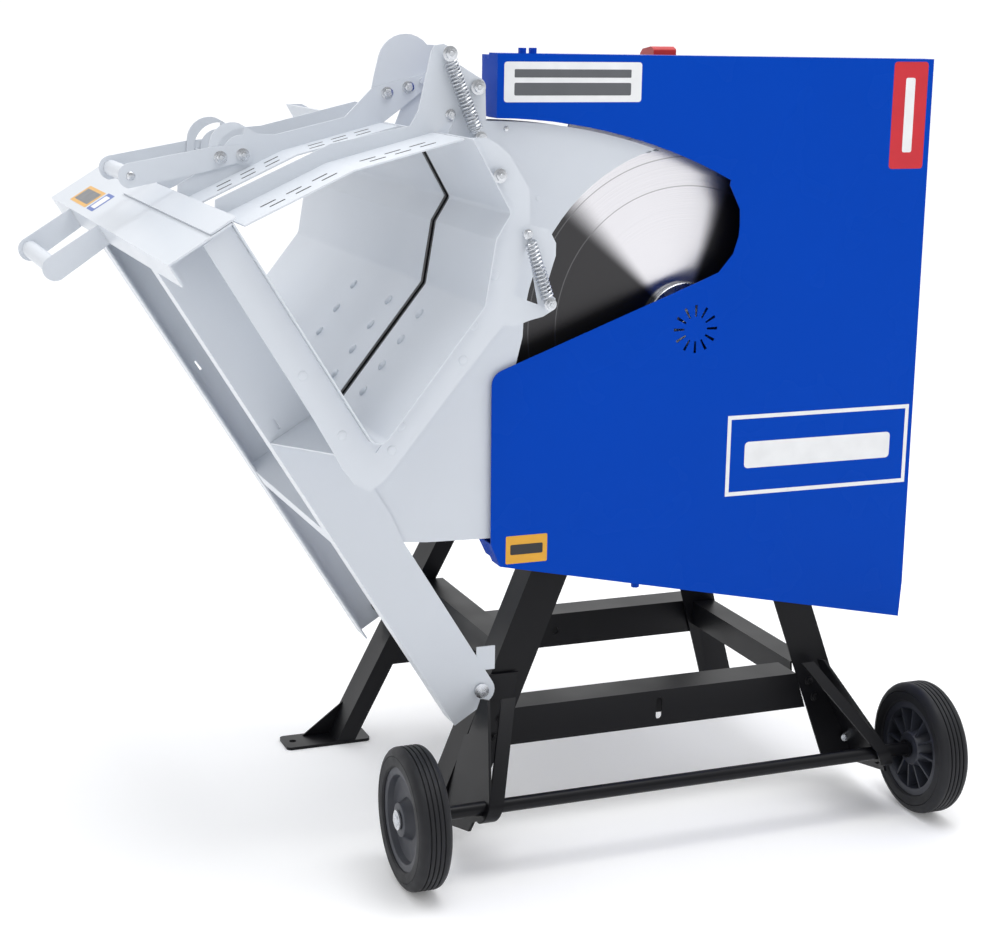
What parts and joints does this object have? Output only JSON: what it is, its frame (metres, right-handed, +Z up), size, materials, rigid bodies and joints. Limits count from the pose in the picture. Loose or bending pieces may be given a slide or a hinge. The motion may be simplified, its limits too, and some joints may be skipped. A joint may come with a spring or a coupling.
{
  "type": "tilting log saw",
  "caption": "Firewood cradle saw: a bent-sheet cradle tilts a log onto a guarded circular blade on a leaning black stand with an axle and wheels.",
  "frame": {"origin": "centre of the bounding box, on the ground", "axes": "+Z up, +X to the right along the wheel axle, +Y to the rear, away from the wheels; the cradle leans towards -X"},
  "size_m": [1.2645, 0.9, 1.151],
  "materials": {
    "black_paint": "satin black powder coat",
    "blue_paint": "glossy royal blue powder coat",
    "white_paint": "light grey powder coat",
    "blade_steel": "brushed steel, turned in rings",
    "zinc": "zinc plated",
    "tyre_rubber": "matt rubber",
    "black_plastic": "grained plastic",
    "green_plastic": "moulded",
    "red_plastic": "moulded"
  },
  "bodies": {
    "stand": {"leg_front_left": "black_paint", "leg_front_right": "black_paint", "leg_rear_left": "black_paint", "leg_rear_right": "black_paint", "rail_front": "black_paint", "rail_rear": "black_paint", "rail_left": "black_paint", "rail_right": "black_paint", "axle_bracket_left": "black_paint", "axle_bracket_right": "black_paint", "axle": "black_paint", "guard_front": "blue_paint", "guard_rear": "blue_paint", "motor_mount": "black_paint", "motor_housing": "black_paint", "fan_cover": "black_plastic", "switch_box": "black_plastic", "inlet": "black_plastic", "pivot_lug_front": "black_paint", "pivot_lug_rear": "black_paint"},
    "blade": {"saw_blade": "blade_steel", "spindle": "zinc", "outer_flange": "zinc", "arbor_nut": "zinc"},
    "cradle": {"pivot_shaft": "zinc", "arm_front": "white_paint", "arm_rear": "white_paint", "trough_front": "white_paint", "trough_rear": "white_paint", "blade_cover_front": "white_paint", "blade_cover_rear": "white_paint", "end_frame_front": "white_paint", "end_frame_rear": "white_paint", "top_plate": "white_paint", "cross_shelf": "white_paint", "gusset_front": "white_paint", "push_plate_front": "white_paint", "push_plate_rear": "white_paint", "push_grip": "white_paint", "rest_stop": "white_paint", "cover_spring": "zinc", "hinge_lug_front": "white_paint", "hinge_lug_rear": "white_paint"},
    "jaw": {"jaw_rail_front": "white_paint", "jaw_rail_middle": "white_paint", "jaw_rail_rear": "white_paint", "jaw_end_plate": "white_paint", "jaw_fence": "white_paint", "jaw_spring_front": "zinc", "jaw_spring_rear": "zinc"},
    "clamp_handle": {"handle_plate_front": "white_paint", "handle_plate_rear": "white_paint", "handle_grip": "white_paint"},
    "wheel_left": {"rim_left": "black_plastic", "tyre_left": "tyre_rubber"},
    "wheel_right": {"rim_right": "black_plastic", "tyre_right": "tyre_rubber"},
    "start_button": {"start_button": "green_plastic"},
    "stop_flap": {"stop_flap": "red_plastic"}
  },
  "joints": [
    {"name": "cradle_swing", "type": "hinge", "parent": "stand", "child": "cradle", "pos_m": [-0.0702, -0.226, 0.2269], "axis": [0, 1, 0], "range_deg": [0, 26], "stiffness_Nm_per_rad": 60},
    {"name": "blade_spin", "type": "hinge", "parent": "stand", "child": "blade", "pos_m": [0.2528, -0.184, 0.741], "axis": [0, 1, 0], "continuous": true},
    {"name": "jaw_hinge", "type": "hinge", "parent": "cradle", "child": "jaw", "pos_m": [-0.1171, -0.3, 1.087], "axis": [0, 1, 0], "range_deg": [0, 35]},
    {"name": "clamp_handle_lift", "type": "hinge", "parent": "jaw", "child": "clamp_handle", "pos_m": [-0.3771, -0.086, 0.987], "axis": [0, 1, 0], "range_deg": [0, 90]},
    {"name": "wheel_left_spin", "type": "hinge", "parent": "stand", "child": "wheel_left", "pos_m": [-0.2141, -0.35, 0.1], "axis": [1, 0, 0], "continuous": true},
    {"name": "wheel_right_spin", "type": "hinge", "parent": "stand", "child": "wheel_right", "pos_m": [0.6025, -0.35, 0.1], "axis": [1, 0, 0], "continuous": true},
    {"name": "start_button_press", "type": "slide", "parent": "stand", "child": "start_button", "axis": [0, 0, -1], "range_m": [0, 0.003], "stiffness_N_per_m": 300},
    {"name": "stop_flap_lift", "type": "hinge", "parent": "stand", "child": "stop_flap", "pos_m": [0.2289, -0.1025, 1.1186], "axis": [-1, 0, 0], "range_deg": [0, 80]}
  ]
}
